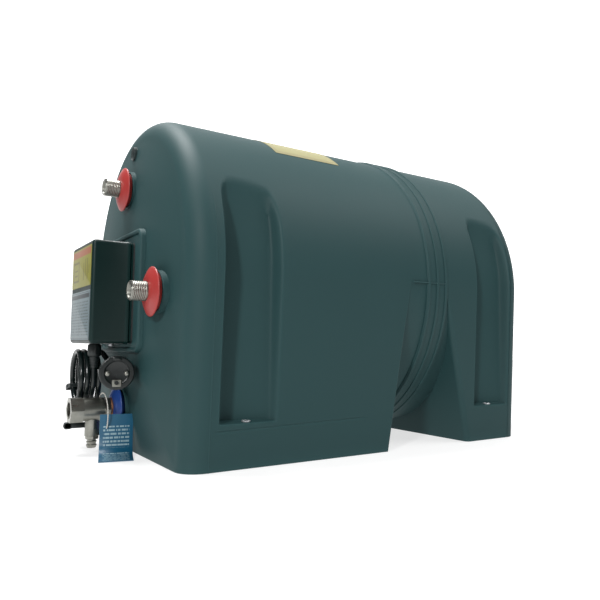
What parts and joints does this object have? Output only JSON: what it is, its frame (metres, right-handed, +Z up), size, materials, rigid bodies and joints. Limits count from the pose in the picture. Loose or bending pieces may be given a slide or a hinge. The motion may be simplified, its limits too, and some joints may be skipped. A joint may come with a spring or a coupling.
{
  "type": "tank water heater",
  "caption": "Horizontal tank water heater in a moulded plastic casing on two saddle feet, with pipe stubs, relief valve, thermostat box and coiled mains lead on its front end.",
  "frame": {"origin": "on the floor at the centre of the four fixing holes", "axes": "+Z up, the front end with the pipe stubs faces -Y, +X to the right when looking along +Y"},
  "size_m": [0.3928, 0.558, 0.4024],
  "materials": {
    "casing_plastic": "moulded polyethylene with a soft sheen",
    "box_plastic": "fine textured moulding",
    "foam": "closed cell foam",
    "tank_steel": "brushed and welded",
    "zinc_steel": "zinc plated",
    "nickel_pipe": "nickel plated, threaded",
    "red_collar": "smooth moulded",
    "blue_collar": "smooth moulded",
    "rubber_seal": "moulded rubber",
    "element_sheath": "dull alloy sheath",
    "magnesium": "cast rod",
    "copper": "drawn",
    "ivory_plastic": "moulded",
    "black_plastic": "moulded",
    "red_button": "moulded",
    "cord_sheath": "extruded sheath",
    "plug_rubber": "moulded",
    "plated_brass": "nickel plated, turned",
    "fibre_washer": "pressed fibre",
    "yellow_label": "printed film",
    "silver_label": "metallised film",
    "pale_label": "printed film",
    "blue_card": "printed plastic card",
    "string": "cotton string"
  },
  "bodies": {
    "heater": {"front_shell": "casing_plastic", "rear_shell": "casing_plastic", "joint_band": "casing_plastic", "insulation": "foam", "tank_barrel": "tank_steel", "tank_front_head": "tank_steel", "tank_rear_head": "tank_steel", "fixing_sleeves": "zinc_steel", "hot_stub": "nickel_pipe", "cold_stub": "nickel_pipe", "exchanger_stub_right": "nickel_pipe", "exchanger_stub_left": "nickel_pipe", "exchanger_pipe": "tank_steel", "hot_collar": "red_collar", "exchanger_collar_right": "red_collar", "exchanger_collar_left": "red_collar", "cold_collar": "blue_collar", "flange_ring": "tank_steel", "flange_gasket": "rubber_seal", "heater_plate": "tank_steel", "flange_bolts": "zinc_steel", "heating_element": "element_sheath", "thermostat_pocket": "tank_steel", "anode_rod": "magnesium", "thermostat_probe": "copper", "thermostat_body": "ivory_plastic", "safety_cutout": "ivory_plastic", "terminal_block": "ivory_plastic", "box_gasket": "rubber_seal", "box_base": "box_plastic", "box_cover": "box_plastic", "cover_screws": "zinc_steel", "cord_gland": "black_plastic", "cord_lead": "cord_sheath", "cord_coil": "cord_sheath", "cord_tail": "cord_sheath", "cord_tie": "black_plastic", "plug_body": "plug_rubber", "plug_pins": "plated_brass", "plug_earth": "plated_brass", "valve_gasket": "fibre_washer", "valve_nut": "plated_brass", "valve_body": "plated_brass", "check_spring": "zinc_steel", "relief_spring": "zinc_steel", "relief_cap": "plated_brass", "lever_pin": "zinc_steel", "front_label": "yellow_label", "rating_plate": "silver_label", "top_label": "pale_label", "care_tag": "blue_card", "tag_string": "string"},
    "relief_lever": {"relief_lever": "black_plastic"},
    "relief_piston": {"relief_piston": "copper"},
    "check_poppet": {"check_poppet": "ivory_plastic"},
    "thermostat_dial": {"thermostat_dial": "black_plastic"},
    "reset_button": {"reset_button": "red_button"}
  },
  "joints": [
    {"name": "lever_hinge", "type": "hinge", "parent": "heater", "child": "relief_lever", "pos_m": [-0.0219, -0.292, 0.03], "axis": [1, 0, 0], "range_deg": [0, 90]},
    {"name": "relief_lift", "type": "slide", "parent": "heater", "child": "relief_piston", "axis": [0, 0, -1], "range_m": [0, 0.003], "deforming": ["relief_spring"]},
    {"name": "check_travel", "type": "slide", "parent": "heater", "child": "check_poppet", "axis": [0, 1, 0], "range_m": [0, 0.004], "stiffness_N_per_m": 60},
    {"name": "dial_turn", "type": "hinge", "parent": "heater", "child": "thermostat_dial", "pos_m": [0.017, -0.275, 0.201], "axis": [0, 1, 0], "range_deg": [0, 270]},
    {"name": "reset_press", "type": "slide", "parent": "heater", "child": "reset_button", "axis": [0, 1, 0], "range_m": [0, 0.002], "stiffness_N_per_m": 400}
  ],
  "couplings": [
    {"joint": "relief_lift", "follows": "lever_hinge", "m_per_rad": 0.0019}
  ]
}
